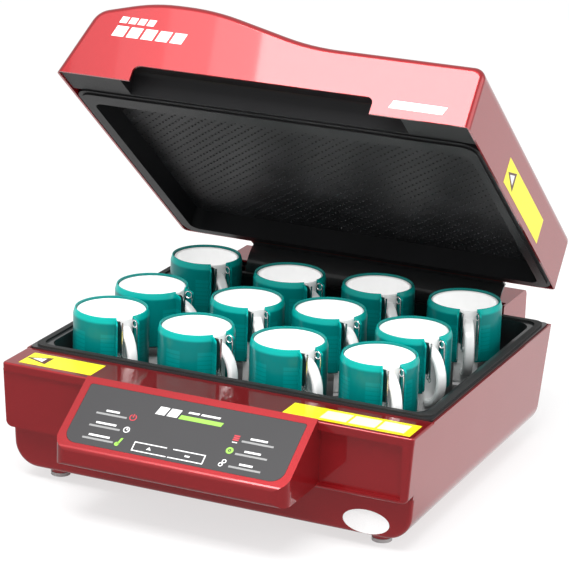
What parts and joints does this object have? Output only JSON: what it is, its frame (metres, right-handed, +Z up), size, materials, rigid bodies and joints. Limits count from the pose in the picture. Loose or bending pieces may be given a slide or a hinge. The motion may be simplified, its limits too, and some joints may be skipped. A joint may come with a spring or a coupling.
{
  "type": "vacuum mug heat press",
  "caption": "Low casing with a deep heating tray of mugs in silicone wraps, sloping control panel, and a deep membrane lid hinged behind, shown open.",
  "frame": {"origin": "middle of the footprint of the whole machine with its lid open, on the surface it stands on", "axes": "+X to the right seen from the front, +Y to the hinge at the rear, +Z up; the control panel faces -Y"},
  "size_m": [0.508, 0.613, 0.5382],
  "materials": {
    "red_metal": "glossy pearl red paint",
    "red_shell": "glossy pearl red paint on moulded shell",
    "black_enamel": "glossy black enamel",
    "black_frame": "glossy black moulding",
    "panel_grey": "smooth grey overlay",
    "black_rubber": "matt black silicone",
    "membrane": "black silicone with fine pimples",
    "white_glaze": "white glaze",
    "teal_silicone": "glossy teal silicone",
    "steel": "brushed",
    "bright_wire": "bright",
    "reflector": "bright rolled sheet",
    "quartz": "heater tube with coil",
    "fibre": "ceramic fibre blanket",
    "black_plastic": "moulded",
    "circuit": "green circuit board",
    "foot_red": "gloss paint",
    "foot_pad": "pale rubber"
  },
  "bodies": {
    "casing": {"side_panel_left": "red_metal", "side_panel_right": "red_metal", "bottom_pan": "red_metal", "rear_panel": "red_metal", "plinth_front": "red_shell", "front_shell": "red_shell", "top_deck": "red_shell", "control_bezel": "red_shell", "control_face": "panel_grey", "control_board": "circuit", "chamber_tray": "black_enamel", "tray_gasket": "black_rubber", "tray_supports": "steel", "mugs": "white_glaze", "mug_wraps": "teal_silicone", "clasp_plates": "steel", "clasp_wires": "bright_wire", "mug_cradles": "steel", "hinge_rod": "steel", "hinge_ears": "steel", "friction_cartridges": "steel", "rear_housing": "red_metal", "foot_stems": "foot_red", "foot_pads": "foot_pad", "fan_frame": "black_plastic", "fan_grille": "steel", "power_inlet": "black_plastic", "switch_frame": "black_plastic", "fuse_holder": "black_plastic", "vacuum_pump": "steel", "vacuum_hose": "black_rubber", "power_board": "circuit"},
    "lid": {"lid_shell": "red_shell", "lid_liner": "black_frame", "membrane_frame": "black_frame", "membrane": "membrane", "membrane_clamps": "steel", "reflector": "reflector", "heater_tubes": "quartz", "insulation": "fibre", "lid_probe": "steel", "hinge_cowl": "black_enamel", "hinge_arms": "steel"},
    "fan": {"fan_rotor": "black_plastic"},
    "rocker": {"power_switch": "black_plastic"}
  },
  "joints": [
    {"name": "lid_hinge", "type": "hinge", "parent": "casing", "child": "lid", "pos_m": [0, 0.2705, 0.136], "axis": [-1, 0, 0], "range_deg": [-39.3, 0], "deforming": ["membrane"]},
    {"name": "fan_spin", "type": "hinge", "parent": "casing", "child": "fan", "pos_m": [0.128, 0.20851, 0.0555], "axis": [0, 0.9917, -0.1288], "continuous": true},
    {"name": "switch_rock", "type": "hinge", "parent": "casing", "child": "rocker", "pos_m": [-0.1, 0.20784, 0.05439], "axis": [0, 0.1288, 0.9917], "range_deg": [0, 12]}
  ]
}
